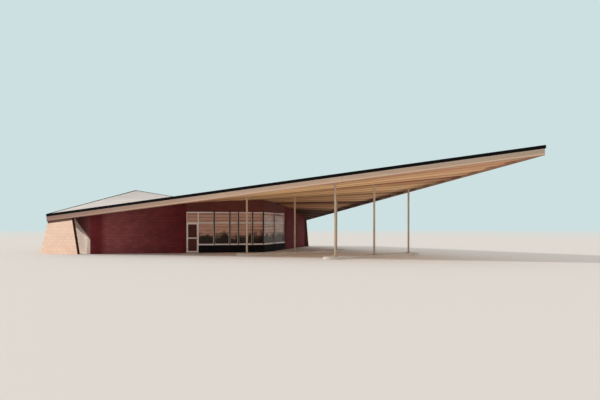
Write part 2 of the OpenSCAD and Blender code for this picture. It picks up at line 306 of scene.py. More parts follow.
keyData = bpy.data.lights.new("key_light", "SUN")
keyData.energy = studio["keyStrength"]
keyData.angle = math.radians(studio["keySoftness"])
keyLight = addObject("key_light", keyData)
keyLight.rotation_mode = "QUATERNION"
keyLight.rotation_quaternion = studio["keyFrom"].to_track_quat("Z", "Y")

viewpoint = {
    "place": (-32.65, -44.78, 1.995),
    "turn": -0.7938,
    "sensor": 36.0,
    "lens": 38.8,
    "shift": 0.0425,
    "reach": 2000.0,
}

cameraData = bpy.data.cameras.new("camera")
cameraData.sensor_width = viewpoint["sensor"]
cameraData.lens = viewpoint["lens"]
cameraData.shift_y = viewpoint["shift"]
cameraData.clip_end = viewpoint["reach"]
camera = addObject("camera", cameraData)
camera.location = viewpoint["place"]
camera.rotation_euler = (math.pi / 2, 0.0, viewpoint["turn"])
bpy.context.scene.camera = camera
bpy.context.scene.view_settings.view_transform = "Standard"
print("studio and camera made")


# Finishes; a noise is given as scale and detail, and a depth in metres

blockLook = {
    "broadNoise": (0.9, 3.0), "coarseNoise": (9.0, 4.0), "fineNoise": (120.0, 3.0),
    "tone": 0.55, "broad": 0.8, "coarse": 0.5, "fine": 0.3,  # how much each one shows
    "splashNoise": (4.0, 4.0), "splashTo": 0.5, "splash": 0.5,
    "rough": 0.86, "roughDrift": 0.1, "gloss": 0.15,
    "grain": 0.004, "fineGrain": 0.6, "coarseGrain": 0.4,
}


def blockFinish(name, colours, others=None, share=None):  # each set is pale, dark and joint
    look = blockLook
    finish = Finish(name)
    if others:  # a second set of colours, over the share of the wall that the function gives
        weight = share(finish)
        colours = [finish.mix(weight, a, b) for a, b in zip(colours, others)]
    pale, dark, joint = colours
    tone = finish.attribute("blockTone")
    gap = finish.attribute("blockJoint")
    broad = finish.noise(*look["broadNoise"])
    coarse = finish.noise(*look["coarseNoise"])
    fine = finish.noise(*look["fineNoise"])
    height = finish.axis("Z")
    shade = (tone - 0.5) * look["tone"] + (broad - 0.5) * look["broad"]
    shade = shade + (coarse - 0.5) * look["coarse"] + (fine - 0.5) * look["fine"] + 0.5
    face = finish.mix(shade.limited(0.0, 1.0), dark, pale)
    low = 1 - height.limited(0.0, look["splashTo"])
    face = finish.mix(low * (finish.noise(*look["splashNoise"]) * look["splash"]), face, dark)
    return finish.surface({"Base Color": finish.mix(gap, face, joint),
                           "Roughness": look["rough"] + (coarse - 0.5) * look["roughDrift"],
                           "Specular IOR Level": look["gloss"]},
                          fine * look["fineGrain"] + coarse * look["coarseGrain"], look["grain"])


paintLook = {
    "broadNoise": (0.9, 3.0), "driftNoise": (7.0, 4.0), "fineScale": 220.0,
    "broad": 0.6, "drift": 0.4, "wornFrom": (0.42, 0.78), "worn": 0.7,
    "roughDrift": 0.25, "grain": 0.0006,
}


def paintFinish(name, pale, worn, rough, grain=1.0, metallic=0.0, streaks=(1.0, 1.0, 0.25),
                gloss=0.5):
    look = paintLook
    finish = Finish(name)
    where = finish.stretched(finish.place(), streaks)
    broad = finish.noise(*look["broadNoise"], where)
    drift = finish.noise(*look["driftNoise"], where)
    fine = finish.noise(look["fineScale"] / grain)
    wear = (broad * look["broad"] + drift * look["drift"]).limited(*look["wornFrom"])
    return finish.surface({"Base Color": finish.mix(wear * look["worn"], pale, worn),
                           "Roughness": rough + (drift - 0.5) * look["roughDrift"],
                           "Metallic": metallic, "Specular IOR Level": gloss},
                          fine, look["grain"] * grain)


concreteLook = {
    "broadNoise": (0.7, 4.0), "coarseNoise": (6.0, 6.0), "sandNoise": (150.0, 3.0),
    "broad": 0.5, "coarse": 0.35, "sand": 0.15, "paleFrom": (0.35, 0.68),
    "joint": rgb(70, 66, 60), "jointWide": 0.012, "jointDepth": 0.75, "jointsBefore": 50.5,
    "rough": 0.82, "roughDrift": 0.2,
    "grain": 0.003, "sandGrain": 0.5, "coarseGrain": 0.5,
}


def concreteFinish(name, pale, dark, jointEvery):
    look = concreteLook
    finish = Finish(name)
    broad = finish.noise(*look["broadNoise"])
    coarse = finish.noise(*look["coarseNoise"])
    sand = finish.noise(*look["sandNoise"])
    shade = broad * look["broad"] + coarse * look["coarse"] + sand * look["sand"]
    colour = finish.mix(shade.limited(*look["paleFrom"]), dark, pale)
    line = (finish.axis("X") / jointEvery + look["jointsBefore"]) % 1.0  # above 0 on the left too
    joint = abs(line - 0.5) < look["jointWide"] / 2 / jointEvery
    colour = finish.mix(joint * look["jointDepth"], colour, look["joint"])
    return finish.surface({"Base Color": colour,
                           "Roughness": look["rough"] + (coarse - 0.5) * look["roughDrift"]},
                          sand * look["sandGrain"] + coarse * look["coarseGrain"], look["grain"])


blockTones = {  # pale, dark and joint
    "rear": (rgb(212, 181, 157), rgb(197, 164, 140), rgb(178, 145, 122)),
    # pier: paler than the rear block, as painted sunlight on its outer face
    "pier": (rgb(252, 222, 198), rgb(242, 205, 180), rgb(226, 188, 162)),
    # pierShade: the pier block in painted shade
    "pierShade": (rgb(86, 46, 40), rgb(68, 36, 31), rgb(54, 30, 26)),
    # side: paler still, as painted sunlight on the side walls
    "side": (rgb(255, 236, 220), rgb(250, 224, 204), rgb(236, 204, 182)),
    # sideShade: the side block in painted shadow
    "sideShade": (rgb(122, 44, 50), rgb(98, 34, 40), rgb(80, 30, 36)),
    "front": (rgb(156, 87, 85), rgb(126, 66, 66), rgb(103, 55, 55)),
    # frontShade: the front block in painted shade
    "frontShade": (rgb(118, 43, 46), rgb(93, 32, 35), rgb(76, 28, 30)),
    "black": (rgb(30, 23, 23), rgb(20, 15, 16), rgb(14, 11, 11)),
}
# where the painted shade and shadows on the front walls, piers and side walls start and end, in
# metres
frontWall = {"inner": (5.2, 9.4), "outer": (9.75, 10.15), "right": (3.0, 5.0), "rightDepth": 0.9}
pier = {"slope": 0.1099, "paintedShadowFrom": (2.11, 2.16), "paintedShadow": 0.9}
sideWall = {"slope": 0.653, "paintedShadowFrom": (2.7, 2.84), "paintedShadow": 0.97}


def frontShade(finish):  # painted shade: darker towards the windows, at the outer ends and on the right-hand wall
    place = finish.axis("X")
    inner = 1 - abs(place).limited(*frontWall["inner"])
    outer = abs(place).limited(*frontWall["outer"])
    return inner.larger(outer).larger(place.limited(*frontWall["right"]) * frontWall["rightDepth"])


def pierShade(finish):  # painted shade on the pier's faces away from the light, and a painted shadow right under the edge boards
    top = finish.axis("Z") + finish.axis("Y") * pier["slope"]
    return finish.attribute("blockShaded").larger(top.limited(*pier["paintedShadowFrom"]) * pier["paintedShadow"])


def sideShade(finish):  # painted shadow of the eaves, slanting down to the front corner
    top = finish.axis("Z") - finish.axis("Y") * sideWall["slope"]
    return top.limited(*sideWall["paintedShadowFrom"]) * sideWall["paintedShadow"]


rearBlock = blockFinish("rear_block_finish", blockTones["rear"])
pierBlock = blockFinish("pier_block_finish", blockTones["pier"], blockTones["pierShade"], pierShade)
sideBlock = blockFinish("side_block_finish", blockTones["side"], blockTones["sideShade"], sideShade)
frontBlock = blockFinish("front_block_finish", blockTones["front"], blockTones["frontShade"],
                         frontShade)
blackBlock = blockFinish("black_block_finish", blockTones["black"])
headerPaint = paintFinish("header_finish", rgb(116, 63, 55), rgb(80, 42, 39), rough=0.7, grain=1.5,
                          streaks=(0.3, 0.3, 2.5), gloss=0.15)
whitePaint = paintFinish("frame_finish", rgb(255, 246, 240), rgb(240, 224, 214), rough=0.42)
darkPaint = paintFinish("mullion_finish", rgb(44, 23, 20), rgb(30, 16, 14), rough=0.55, gloss=0.3)
capPaint = paintFinish("cap_finish", rgb(13, 10, 10), rgb(24, 20, 20), rough=0.75, gloss=0.05)
postPaint = paintFinish("post_finish", rgb(196, 174, 152), rgb(162, 130, 106), rough=0.5,
                        streaks=(1.0, 1.0, 0.4), gloss=0.3)
steel = paintFinish("door_metal_finish", rgb(196, 192, 186), rgb(160, 156, 150), rough=0.32,
                    grain=0.6, metallic=0.9)
rubber = paintFinish("gasket_finish", rgb(34, 32, 32), rgb(52, 49, 47), rough=0.7)
concrete = concreteFinish("island_finish", rgb(222, 212, 200), rgb(186, 174, 160), jointEvery=1.8)
roomFloor = concreteFinish("floor_slab_finish", rgb(190, 176, 160), rgb(150, 136, 122),
                           jointEvery=3.0)

glassLook = {
    "hazeNoise": (0.8, 2.0), "dustNoise": (30.0, 4.0), "edgeNoise": (1.4, 3.0), "edgeHigh": 1.2,
    "bandNoise": (1.0, 2.0), "bandStretch": (0.5, 0.5, 7.0), "bandFrom": (0.45, 1.25),
    # stripes of the painted reflection, and how much of it shows
    "stripesPerMetre": 4.3, "stripeShare": 0.3, "stripeDepth": 0.3, "plainReflection": 0.2,
    "rough": 0.05, "dust": 0.08, "gloss": 0.08, "metal": 0.06, "reflectionMetal": 0.05,
    "alpha": 0.55, "reflectionAlpha": 0.34, "hazeAlpha": 0.05,
}


# painted reflection: a tan, striped, less clear colour over the glass colour
def glassFinish(name, paintedReflection, clear, reflectionFrom=None):  # the last argument gives the heights between which the painted reflection starts
    look = glassLook
    finish = Finish(name)
    haze = finish.noise(*look["hazeNoise"])
    dust = finish.noise(*look["dustNoise"])
    height = finish.axis("Z")
    patchy = height + (finish.noise(*look["edgeNoise"]) - 0.5) * look["edgeHigh"]
    reflectedShare = patchy.limited(*reflectionFrom) if reflectionFrom else haze * look["plainReflection"]
    bands = finish.noise(*look["bandNoise"], finish.stretched(finish.place(), look["bandStretch"]))
    stripes = ((height * look["stripesPerMetre"]) % 1.0 < look["stripeShare"]) * look["stripeDepth"] + bands
    reflectionColour = finish.mix(stripes.limited(*look["bandFrom"]), paintedReflection, clear)
    alpha = look["alpha"] + reflectedShare * look["reflectionAlpha"] + haze * look["hazeAlpha"]
    return finish.surface({"Base Color": finish.mix(reflectedShare, clear, reflectionColour), "Alpha": alpha,
                           "Metallic": look["metal"] - reflectedShare * look["reflectionMetal"],
                           "Roughness": look["rough"] + dust * look["dust"],
                           "Specular IOR Level": look["gloss"]})


# the windows show the painted reflection on their upper panes
windowGlass = glassFinish("window_glass_finish", rgb(228, 179, 157), rgb(72, 58, 50),
                          reflectionFrom=(1.15, 1.5))
# the door glass shows the painted reflection colour only in faint patches
doorGlass = glassFinish("door_glass_finish", rgb(132, 74, 62), rgb(104, 56, 48))
print("finishes made")


# Roof

roof = {
    "tip": Vector((0.0, -30.4, 6.12)),
    "corner": Vector((-12.64, 0.0, 2.78)),
    "rear": Vector((0.0, 9.1, 5.3)),
    "inset": 0.052,
    "deckThick": 0.38,
    "deckCells": 48,
    "ribs": 20,
    "ribTop": 0.405,
    "ribBottom": 0.455,
    "ribCells": 28,
    "sheetThick": 0.02,
}


def roofHeight(x, y):
    tip, corner, rear = roof["tip"], roof["corner"], roof["rear"]
    across = abs(x / corner.x)
    square = -tip.y - rear.y
    first = 2 * tip.y + square * across
    last = -tip.y * (1 - across) + y
    t = 2 * last / (-first + math.sqrt(max(first * first - 4 * square * last, 0.0)))
    s = t + across
    return tip.z * (1 - s) * (1 - t) + corner.z * (s * (1 - t) + t * (1 - s)) + rear.z * s * t


def roofOutline(inset):  # tip, left, rear and right corner, moved in
    front, back, half = -roof["tip"].y, roof["rear"].y, -roof["corner"].x
    keepFront = 1 - inset * math.hypot(1 / front, 1 / half)
    keepBack = 1 - inset * math.hypot(1 / back, 1 / half)
    drop = (keepFront - keepBack) / (1 / front + 1 / back)
    side = half * (keepFront - drop / front)
    return [Vector((0, -front * keepFront)), Vector((-side, -drop)), Vector((0, back * keepBack)),
            Vector((side, -drop))]


def saddle(lines, cells, thickness):  # lines are (share of the way to the right corner, depth)
    tip, left, rear, right = roofOutline(roof["inset"])
    mesh = bmesh.new()
    chart = mesh.loops.layers.uv.new("run")
    bmesh.ops.create_grid(mesh, x_segments=cells, y_segments=len(lines) - 1, size=0.5)
    shares = {}
    for vertex in mesh.verts:
        s = vertex.co.x + 0.5
        t, depth = lines[round((vertex.co.y + 0.5) * (len(lines) - 1))]
        plan = (tip.lerp(left, s)).lerp(right.lerp(rear, s), t)
        vertex.co = (plan.x, plan.y, roofHeight(plan.x, plan.y) - depth)
        shares[vertex] = (s, t)
    for face in mesh.faces:
        for loop in face.loops:
            loop[chart].uv = shares[loop.vert]
    bmesh.ops.recalc_face_normals(mesh, faces=mesh.faces)
    if sum(f.normal.z for f in mesh.faces) < 0:
        bmesh.ops.reverse_faces(mesh, faces=mesh.faces)
    bmesh.ops.solidify(mesh, geom=mesh.faces[:], thickness=thickness)
    return mesh


covering = {
    "pale": rgb(232, 222, 213), "dark": rgb(192, 180, 172), "lap": rgb(150, 142, 134),
    "paleFrom": (0.35, 0.9), "strips": 33.0, "wanderNoise": (0.5, 2.0), "wander": 0.03,
    "lapShare": 0.03, "lapDepth": 0.4, "lapHigh": 0.6,
    "gravelNoise": (90.0, 3.0), "patchNoise": (0.35, 4.0), "pondNoise": (1.6, 5.0),
    "strip": 0.22, "patch": 0.5, "pond": 0.25, "gravel": 0.28,  # how much each one shows
    "rough": 0.9, "roughDrift": 0.1, "grain": 0.006,
}
roofing = Finish("roof_finish")
across = roofing.axis("Y", roofing.node("ShaderNodeUVMap", {"uv_map": "run"}))
stripPlace = across * covering["strips"]
wander = roofing.noise(*covering["wanderNoise"]) * covering["wander"]
lap = (stripPlace + wander) % 1.0 < covering["lapShare"]
strip = roofing.draw(stripPlace.floor())
gravel = roofing.noise(*covering["gravelNoise"])
patch = roofing.noise(*covering["patchNoise"])
pond = roofing.noise(*covering["pondNoise"])
roofShade = strip * covering["strip"] + patch * covering["patch"]
roofShade = roofShade + pond * covering["pond"] + gravel * covering["gravel"]
roofPale = roofShade.limited(*covering["paleFrom"])
roofColour = roofing.mix(roofPale, covering["dark"], covering["pale"])
roofColour = roofing.mix(lap * covering["lapDepth"], roofColour, covering["lap"])
roofing.surface({"Base Color": roofColour,
                 "Roughness": covering["rough"] + (gravel - 0.5) * covering["roughDrift"]},
                gravel + lap * covering["lapHigh"], covering["grain"])

deckLines = [(i / roof["deckCells"], 0.0) for i in range(roof["deckCells"] + 1)]
deckMesh = saddle(deckLines, roof["deckCells"], roof["deckThick"])
smoothRound(deckMesh)
makePiece("roof_covering", deckMesh, roofing, "roof_felt", replaced=["roof_deck"])

soffit = {
    "pale": rgb(255, 214, 162), "dark": rgb(176, 110, 72), "shadow": rgb(148, 76, 54),
    "tip": rgb(208, 164, 132), "seamShade": rgb(84, 40, 26), "edge": rgb(50, 21, 12),
    "paleFrom": (0.52, 1.2),
    "streakNoise": (1.0, 5.0), "streakStretch": (3.0, 160.0, 1.0),
    "wideNoise": (1.0, 3.0), "wideStretch": (2.0, 34.0, 1.0),
    "cloudNoise": (0.5, 3.0), "speckNoise": (60.0, 3.0),
    "rib": 0.22, "streak": 0.6, "wide": 0.3, "bay": 0.42, "cloud": 0.2, "speck": 0.1,
    "bays": 5, "bayMiddle": 0.6, "bayFall": 1.6,
    "fadeFrom": (-27.0, -13.0), "fade": 0.4, "fadeMiddle": 0.35,
    "tipFrom": (-18.0, -24.0), "tipDepth": 0.45,
    "ribSides": [(0.12, 0.2), (0.72, 0.78)], "ribSideDepth": 0.5,
    "wallFrom": (0.15, 0.75), "nearWallFrom": (0.44, 0.6), "wallDepth": 0.62,
    "bands": [(0.315, 0.04, 0.35, "pale"), (0.2, 0.012, 0.5, "seamShade"),  # place, half, depth, tone
              (0.39, 0.024, 0.5, "seamShade"), (0.57, 0.034, 0.84, "seamShade"), (0.8, 0.02, 0.4, "seamShade")],
    "bandCore": 0.6,
    "gapShare": 0.018, "gapDepth": 0.55, "gapTo": (0.45, 0.7),
    "edgeShare": (0.028, 0.052), "edgeFrom": (0.1, 0.5), "edgeDepth": 0.93,
    "darkFrom": (0.69, 0.74), "darkDepth": 0.86,
    "rough": 0.7, "roughDrift": 0.2, "gloss": 0.1, "grain": 0.001,
}
ceiling = Finish("ceiling_finish")
run = ceiling.node("ShaderNodeUVMap", {"uv_map": "run"})
leftShare = ceiling.axis("X", run)  # share of the way from the tip to the left corner
rightShare = ceiling.axis("Y", run)  # and from the tip to the right corner
farShare = leftShare.larger(rightShare)
rimShare = leftShare.smaller(rightShare)
lengthways = ceiling.axis("Y")
ribPlace = rightShare * float(roof["ribs"])
ribTone = ceiling.draw(ribPlace.floor())
ribPart = ribPlace % 1.0
streak = ceiling.noise(*soffit["streakNoise"], ceiling.stretched(run, soffit["streakStretch"]))
wide = ceiling.noise(*soffit["wideNoise"], ceiling.stretched(run, soffit["wideStretch"]))
cloud = ceiling.noise(*soffit["cloudNoise"])
speck = ceiling.noise(*soffit["speckNoise"])
bayPart = (rightShare * float(soffit["bays"])) % 1.0  # panels between the seams on the rulings, given painted shade towards their seams
bayShade = 1 - abs(bayPart - soffit["bayMiddle"]) * soffit["bayFall"]
# painted shade: darker towards the tip, paler towards the building
tipShade = lengthways.limited(*soffit["fadeFrom"]) - soffit["fadeMiddle"]
ceilingShade = ribTone * soffit["rib"] + streak * soffit["streak"] + wide * soffit["wide"]
ceilingShade = ceilingShade + bayShade * soffit["bay"] + cloud * soffit["cloud"]
ceilingShade = ceilingShade + speck * soffit["speck"] + tipShade * soffit["fade"]
ceilingPale = ceilingShade.limited(*soffit["paleFrom"])
ceilingColour = ceiling.mix(ceilingPale, soffit["dark"], soffit["pale"])
# painted shade: the tip colour over the soffit near the tip
tipward = lengthways.limited(*soffit["tipFrom"])
ceilingColour = ceiling.mix(tipward * soffit["tipDepth"], ceilingColour, soffit["tip"])
# painted shadow on the sloping sides of each rib
for start, end in soffit["ribSides"]:
    ribSide = (ribPart < end) * (ribPart > start)
    ceilingColour = ceiling.mix(ribSide * soffit["ribSideDepth"], ceilingColour, soffit["shadow"])
# painted shade: darker further in from the near edge and towards the walls
nearWall = leftShare.limited(*soffit["nearWallFrom"])
wallward = rightShare.limited(*soffit["wallFrom"]).larger(nearWall)
ceilingColour = ceiling.mix(wallward * soffit["wallDepth"], ceilingColour, soffit["shadow"])
for place, half, depth, tone in soffit["bands"]:  # along the rulings: dark seams deepened with painted shade, and one pale band of painted light
    band = 1 - abs(rightShare - place).limited(half * soffit["bandCore"], half)
    ceilingColour = ceiling.mix(band * depth, ceilingColour, soffit[tone])
# painted shadow: a dark line along the near edges, fading out towards the far part
gap = (rimShare < soffit["gapShare"]) * (1 - farShare.limited(*soffit["gapTo"]))
ceilingColour = ceiling.mix(gap * soffit["gapDepth"], ceilingColour, soffit["seamShade"])
# painted shade: dark along the edges towards the low corners, near-black over the far part by the
# walls
rim = (1 - rimShare.limited(*soffit["edgeShare"])) * farShare.limited(*soffit["edgeFrom"])
darkEnd = farShare.limited(*soffit["darkFrom"]) * soffit["darkDepth"]
darkEdge = (rim * soffit["edgeDepth"]).larger(darkEnd)
ceilingColour = ceiling.mix(darkEdge, ceilingColour, soffit["edge"])
ceiling.surface({"Base Color": ceilingColour,
                 "Roughness": soffit["rough"] + (cloud - 0.5) * soffit["roughDrift"],
                 "Specular IOR Level": soffit["gloss"]}, speck, soffit["grain"])

# one rib, as shares of its width and of the way down from its top, with a bead in each flat
ribProfile = [(0.0, 0.0), (0.13, 0.0), (0.16, 0.1), (0.24, 0.9), (0.27, 1.0), (0.44, 1.0),
              (0.443, 0.84), (0.457, 0.84), (0.46, 1.0), (0.63, 1.0), (0.66, 0.9), (0.74, 0.1),
              (0.77, 0.0), (0.965, 0.0), (0.968, 0.16), (0.982, 0.16), (0.985, 0.0)]
ribHigh = roof["ribBottom"] - roof["ribTop"]
ribLines = [((rib + share) / roof["ribs"], roof["ribTop"] + ribHigh * down)
            for rib in range(roof["ribs"]) for share, down in ribProfile]
ribLines.append((1.0, roof["ribTop"]))
ceilingMesh = saddle(ribLines, roof["ribCells"], -roof["sheetThick"])
smoothRound(ceilingMesh, 20.0)
makePiece("ribbed_ceiling", ceilingMesh, ceiling, "ceiling_paint", replaced=["ceiling_sheet"])
print("roof and ceiling made")


# Straight pieces in lengths: edge boards and cap strips

def inLengths(node, first, last, length, gap, bevel):
    run = last - first
    total = run.length
    run.normalize()
    count = max(1, round(total / length))
    whole = bmesh.new()
    for number in range(count):
        part = copyOf(node)
        start = first + run * (number * total / count + gap / 2)
        end = first + run * ((number + 1) * total / count - gap / 2)
        if number > 0:
            cutOff(part, everything(part), start, -run)
        if number < count - 1:
            cutOff(part, everything(part), end, run)
        soften(part, bevel)
        data = meshData("length", part)
        whole.from_mesh(data)
        bpy.data.meshes.remove(data)
    return whole


board = {
    "middle": rgb(194, 166, 143), "worn": rgb(176, 145, 123), "corner": rgb(142, 103, 93),
    "tip": rgb(162, 144, 124), "lip": rgb(222, 182, 152), "upper": rgb(208, 188, 172),
    "underShadow": rgb(72, 34, 24),
    "grainNoise": (1.0, 4.0), "grainStretch": (0.5, 0.5, 9.0), "patchNoise": (0.35, 3.0),
    "speckNoise": (150.0, 2.0), "fine": 0.6, "patch": 0.4, "wornFrom": (0.35, 0.7),
    "cornerFrom": (-13.0, 0.5), "cornerDepth": 0.9, "tipFrom": (-20.0, -30.0), "tipDepth": 0.8,
    "upperTo": 0.2, "lipFrom": 0.39, "bandDepth": 0.6, "bandFade": 0.7,
    "underShadowFrom": 0.458, "underShadowDepth": 0.4, "underShadowCorner": 0.55,
    "rough": 0.58, "roughDrift": 0.2, "gloss": 0.3, "grain": 0.0008,
}
edgeBoard = Finish("edge_board_finish")
lengthwise = edgeBoard.axis("Y")
frontSlope = (roof["corner"].z - roof["tip"].z) / -roof["tip"].y
rearSlope = (roof["rear"].z - roof["corner"].z) / roof["rear"].y
edgeTop = (lengthwise * frontSlope).larger(lengthwise * rearSlope) + roof["corner"].z
down = edgeTop - edgeBoard.axis("Z")
boardWhere = edgeBoard.stretched(edgeBoard.place(), board["grainStretch"])
boardFine = edgeBoard.noise(*board["grainNoise"], boardWhere)
boardGrain = boardFine * board["fine"] + edgeBoard.noise(*board["patchNoise"]) * board["patch"]
boardSpeck = edgeBoard.noise(*board["speckNoise"])
cornerward = lengthwise.limited(*board["cornerFrom"])
tipward = lengthwise.limited(*board["tipFrom"])
banded = (1 - cornerward * board["bandFade"]) * board["bandDepth"]
boardColour = edgeBoard.mix(boardGrain.limited(*board["wornFrom"]), board["middle"], board["worn"])
boardColour = edgeBoard.mix(cornerward * board["cornerDepth"], boardColour, board["corner"])
boardColour = edgeBoard.mix(tipward * board["tipDepth"], boardColour, board["tip"])
boardColour = edgeBoard.mix((down < board["upperTo"]) * banded, boardColour, board["upper"])
boardColour = edgeBoard.mix((down > board["lipFrom"]) * banded, boardColour, board["lip"])
# painted shadow: a dark line along the lower edge of the boards, darker towards the low corners
underShadowed = (down > board["underShadowFrom"]) * (cornerward * board["underShadowCorner"] + board["underShadowDepth"])
boardColour = edgeBoard.mix(underShadowed, boardColour, board["underShadow"])
edgeBoard.surface({"Base Color": boardColour,
                   "Roughness": board["rough"] + (boardGrain - 0.5) * board["roughDrift"],
                   "Specular IOR Level": board["gloss"]}, boardSpeck, board["grain"])

edgeStrips = {  # finish, slot, length, gap and bevel
    "board": (edgeBoard, "edge_paint", 5.5, 0.004, 0.004),
    "cap": (capPaint, "black_cap", 3.05, 0.003, 0.004),
}
edgeLines = {"front": (roof["tip"], roof["corner"]), "rear": (roof["corner"], roof["rear"])}
for where, (first, last) in edgeLines.items():
    for side, sign in (("left", 1.0), ("right", -1.0)):
        start = Vector((first.x * sign, first.y, 0.0))
        end = Vector((last.x * sign, last.y, 0.0))
        for kind, (finish, slot, length, gap, bevel) in edgeStrips.items():
            node = f"edge_{kind}_{where}_{side}"
            strip = inLengths(node, start, end, length, gap, bevel)
            makePiece(f"{node}_lengths", strip, finish, slot, replaced=[node])
print("edge boards and caps made")


# Block walls

blocks = {
    "course": 0.2032, "length": 0.4064, "joint": 0.010, "relief": 0.005, "smallest": 0.05,
    "upright": 0.6,  # a face counts as upright while its normal leans less than this
    "filled": 0.45,  # and as a block where it fills this share of its own outline
    "pierRearShade": 0.22,
}
walls = {
    "frontTurn": math.radians(30.0),
    "rearTurn": math.atan2(roof["rear"].y, -roof["corner"].x),
    "pierTurn": math.atan2(-roof["tip"].y, -roof["corner"].x),
    "sideTurn": math.pi / 2,
}
toneDraw = random.Random(7)


def cutCourses(mesh, low, first, last):
    for number in range(first + 1, last):
        level = number * blocks["course"]
        if level - low > blocks["smallest"] * 0.5:
            bmesh.ops.bisect_plane(mesh, geom=everything(mesh), dist=mergeWithin,
                                   plane_co=(0, 0, level), plane_no=(0, 0, 1))


def cutBlocks(mesh, low, high, first, last):  # every second course is set off by half a block
    course, length, smallest = blocks["course"], blocks["length"], blocks["smallest"]
    for number in range(first, last):
        middle = (number + 0.5) * course
        start = low + length * (0.5 if number % 2 else 1.0)
        while start < high - smallest:
            row = [f for f in mesh.faces if abs(f.calc_center_median().z - middle) < course * 0.49
                   and abs(f.normal.z) < blocks["upright"]
                   and min(v.co.x for v in f.verts) < start - smallest
                   and max(v.co.x for v in f.verts) > start + smallest]
            if row:
                around = {e for f in row for e in f.edges} | {v for f in row for v in f.verts}
                bmesh.ops.bisect_plane(mesh, geom=row + list(around), dist=mergeWithin,
                                       plane_co=(start, 0, 0), plane_no=(1, 0, 0))
            start += length


def isBlock(face):
    places = [[v.co[i] for v in face.verts] for i in range(3)]
    wide, deep, high = [max(place) - min(place) for place in places]
    flat = math.hypot(wide, deep)
    return (abs(face.normal.z) < blocks["upright"] and min(high, flat) > blocks["smallest"]
            and face.calc_area() > blocks["filled"] * flat * high)


def blockWall(name, node, angle, finish, slot, shadeOf=None):
    mesh = copyOf(node)
    turn = Matrix.Rotation(-angle, 4, "Z")
    back = turn.inverted()
    bmesh.ops.transform(mesh, matrix=turn, verts=mesh.verts)
    low = Vector([min(v.co[i] for v in mesh.verts) for i in range(3)])
    high = Vector([max(v.co[i] for v in mesh.verts) for i in range(3)])
    first = math.floor(low.z / blocks["course"] + 0.01)
    last = math.ceil(high.z / blocks["course"])
    cutCourses(mesh, low.z, first, last)
    cutBlocks(mesh, low.x, high.x, first, last)
    tone = mesh.faces.layers.float.new("blockTone")
    gap = mesh.faces.layers.float.new("blockJoint")
    shaded = mesh.faces.layers.float.new("blockShaded")
    for face in mesh.faces:
        face[tone] = toneDraw.random()
        face[shaded] = shadeOf(back.to_3x3() @ face.normal) if shadeOf else 0.0
    rims = bmesh.ops.inset_individual(mesh, faces=[f for f in mesh.faces if isBlock(f)],
                                      thickness=blocks["joint"] / 2, depth=blocks["relief"],
                                      use_even_offset=True)["faces"]
    for face in rims:
        face[gap] = 1.0
    bmesh.ops.transform(mesh, matrix=back, verts=mesh.verts)
    makePiece(name, mesh, finish, slot, replaced=[node])


# painted shade by face: none on the outer face, a little on the stepped rear edge, full on the end
# and inner faces
def pierShadeOf(sign):
    def shadeOf(normal):
        outward = normal.x * -sign
        if outward > 0.6:  # the outer face
            return 0.0
        if outward > -0.5 and normal.y > 0.2:  # the stepped rear edge
            return blocks["pierRearShade"]
        return 1.0
    return shadeOf


for side, sign in (("left", 1.0), ("right", -1.0)):
    frontTurn, pierTurn = -sign * walls["frontTurn"], -sign * walls["pierTurn"]
    rearTurn, sideTurn = sign * walls["rearTurn"], walls["sideTurn"]
    blockWall(f"front_blocks_{side}", f"front_wall_{side}", frontTurn, frontBlock, "shaded_block")
    blockWall(f"bulkhead_blocks_{side}", f"bulkhead_{side}", frontTurn, blackBlock, "black_panel")
    blockWall(f"side_blocks_{side}", f"side_wall_{side}", sideTurn, sideBlock, "pale_block")
    blockWall(f"rear_blocks_{side}", f"rear_wall_{side}", rearTurn, rearBlock, "pale_block")
    blockWall(f"pier_blocks_{side}", f"pier_{side}", pierTurn, pierBlock, "pale_block",
              pierShadeOf(sign))
print("block walls made")


# Headers, sills, frames and glass

bevels = {"header": 0.006, "sill": 0.004, "bar": 0.003}


def softened(name, node, finish, slot, width, body="building"):
    mesh = copyOf(node)
    soften(mesh, width)
    makePiece(name, mesh, finish, slot, body, [node])


for side in ("left", "right"):
    softened(f"header_panel_{side}", f"header_{side}", headerPaint, "dark_panel", bevels["header"])
    softened(f"sill_{side}", f"window_sill_{side}", whitePaint, "white_frame", bevels["sill"])
    softened(f"frame_bars_{side}", f"window_frame_{side}", whitePaint, "white_frame", bevels["bar"])
softened("door_frame_bars", "door_frame", whitePaint, "white_frame", bevels["bar"])
softened("door_leaf_bars", "door_leaf", whitePaint, "white_frame", bevels["bar"], "door")

windows = {
    "nose": Vector((0.0, -8.9, 0.0)), "sill": 0.588, "transom": 2.16, "head": 2.99,
    "bar": 0.05, "upright": 0.1, "frameFront": -0.05, "glass": (-0.104, -0.096), "glassLap": 0.0005,
    "left": [0.865, 1.935, 2.575, 3.735], "leftEnd": 4.87, "right": [2.88], "rightEnd": 5.71,
    "door": [4.92, 5.71],
    "coverWidth": 0.09, "coverFront": -0.022, "coverInset": 0.002, "coverLap": 0.001,
    "coverBevel": 0.003, "noseWidth": 0.09, "noseLap": 0.06,
    "beadWidth": 0.016, "beadProud": 0.016, "beadBevel": 0.002,
    "rubberWidth": 0.022, "rubberProud": 0.003,
}


def windowPlace(sign):  # x along the wall from the nose, y out of the building, z up
    turn = walls["frontTurn"]
    along = Vector((-sign * math.cos(turn), math.sin(turn), 0.0))
    out = Vector((-sign * math.sin(turn), -math.cos(turn), 0.0))
    axes = Matrix((along, out, Vector((0, 0, 1)))).transposed().to_4x4()
    return Matrix.Translation(windows["nose"]) @ axes


